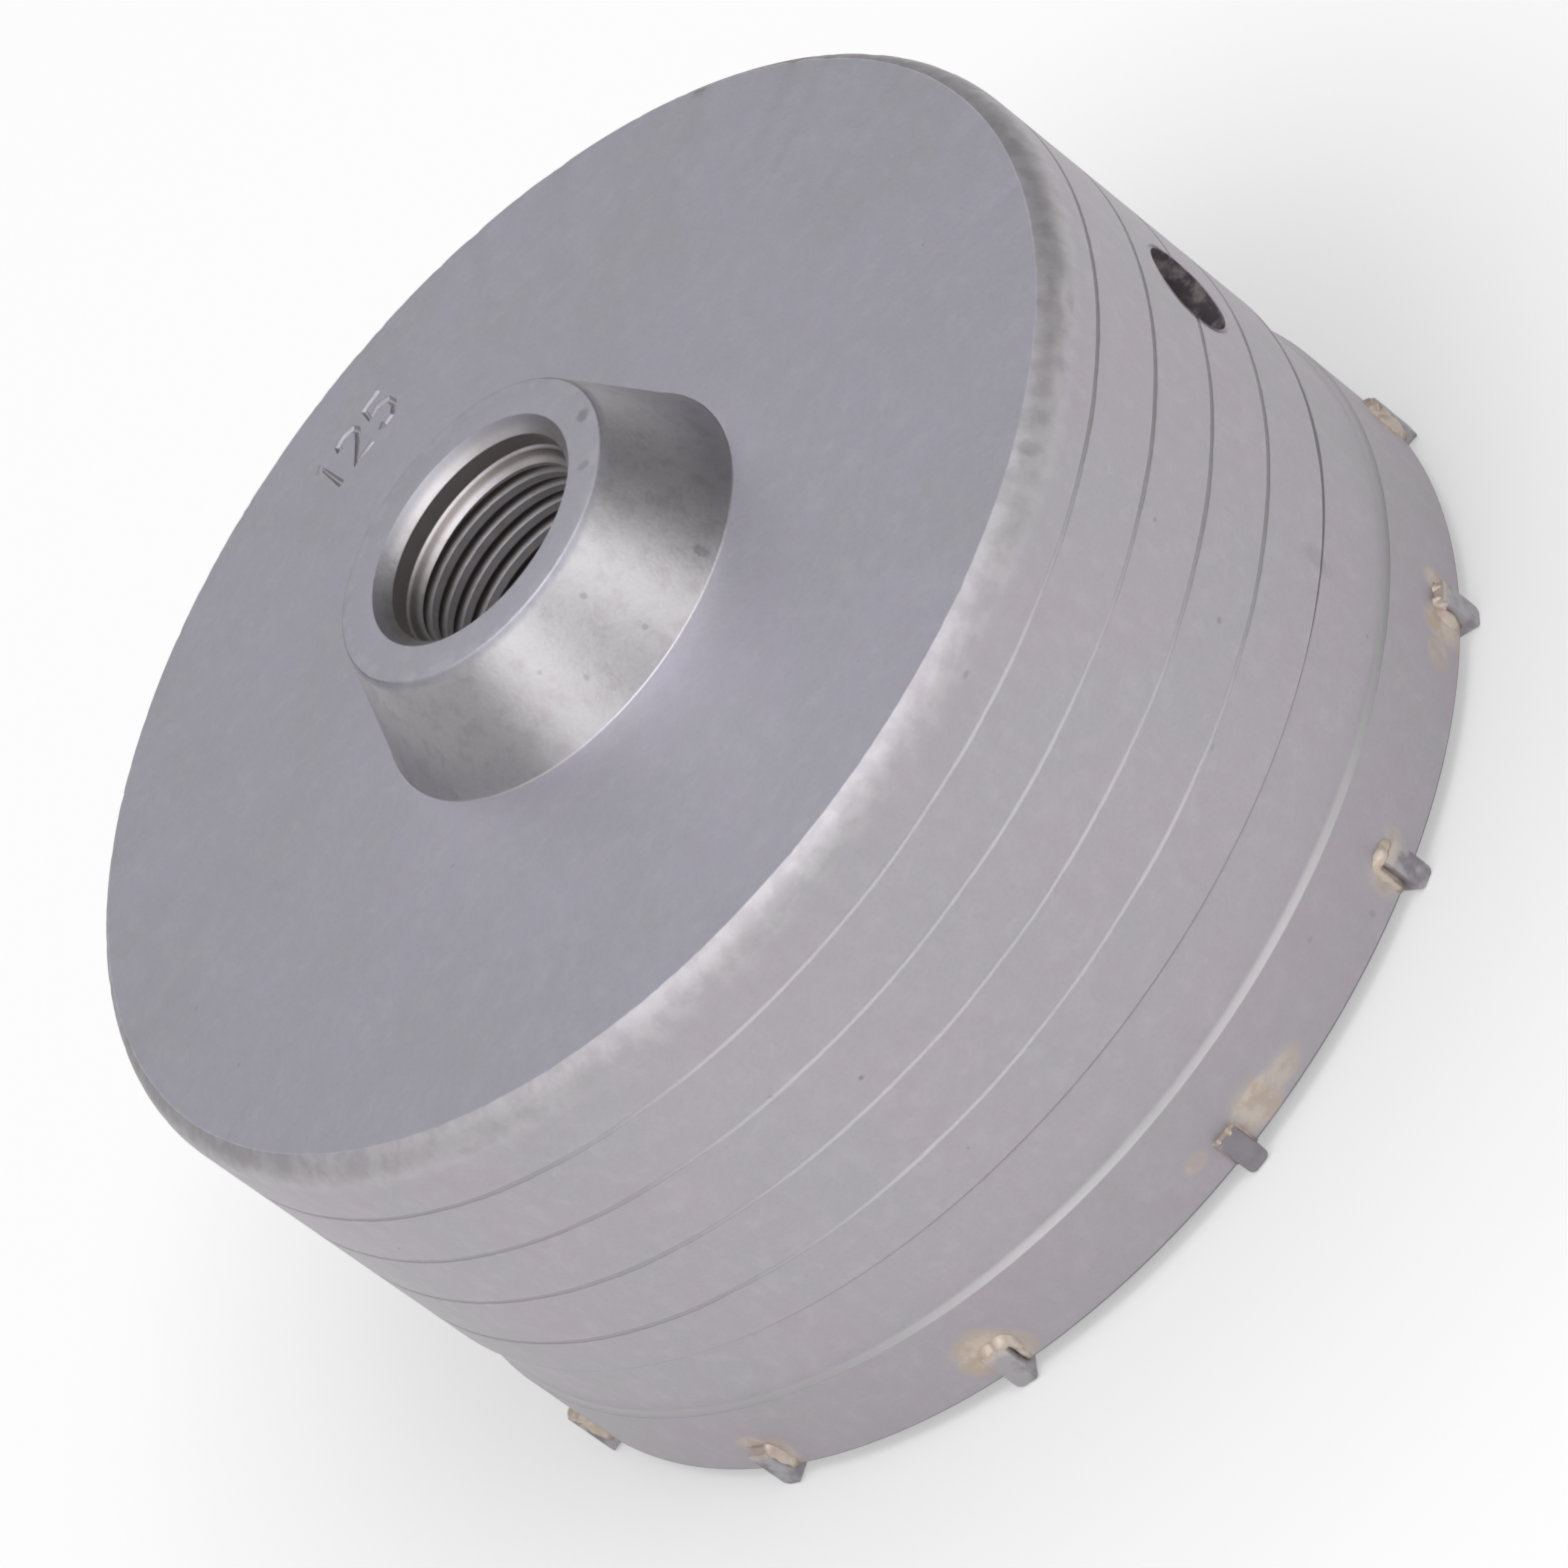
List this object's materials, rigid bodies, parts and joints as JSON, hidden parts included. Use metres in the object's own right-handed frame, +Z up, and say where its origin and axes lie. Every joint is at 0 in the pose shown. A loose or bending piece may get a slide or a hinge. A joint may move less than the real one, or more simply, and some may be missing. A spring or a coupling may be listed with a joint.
{
  "type": "concrete core bit",
  "caption": "Cup-shaped steel core bit with a tapered threaded hub, a spiral dust groove round its wall and carbide tips brazed into the rim, for cutting round holes in concrete.",
  "frame": {"origin": "on the axis, in the plane through the lower ends of the tips, where the bit stands", "axes": "+Z up the axis from the tips to the threaded hub; +X through the first tip; right-handed"},
  "size_m": [0.124, 0.1244, 0.0708],
  "materials": {
    "cup_steel": "satin, blasted grey steel, lightly scuffed at the corners",
    "carbide": "dull dark grey sintered carbide",
    "braze": "matt cream-yellow filler metal with flux haze"
  },
  "bodies": {
    "root": {"core_cup": "cup_steel", "carbide_tip_01": "carbide", "carbide_tip_02": "carbide", "carbide_tip_03": "carbide", "carbide_tip_04": "carbide", "carbide_tip_05": "carbide", "carbide_tip_06": "carbide", "carbide_tip_07": "carbide", "carbide_tip_08": "carbide", "carbide_tip_09": "carbide", "carbide_tip_10": "carbide", "carbide_tip_11": "carbide", "carbide_tip_12": "carbide", "carbide_tip_13": "carbide", "braze_seam_01": "braze", "braze_seam_02": "braze", "braze_seam_03": "braze", "braze_seam_04": "braze", "braze_seam_05": "braze", "braze_seam_06": "braze", "braze_seam_07": "braze", "braze_seam_08": "braze", "braze_seam_09": "braze", "braze_seam_10": "braze", "braze_seam_11": "braze", "braze_seam_12": "braze", "braze_seam_13": "braze"}
  },
  "joints": []
}
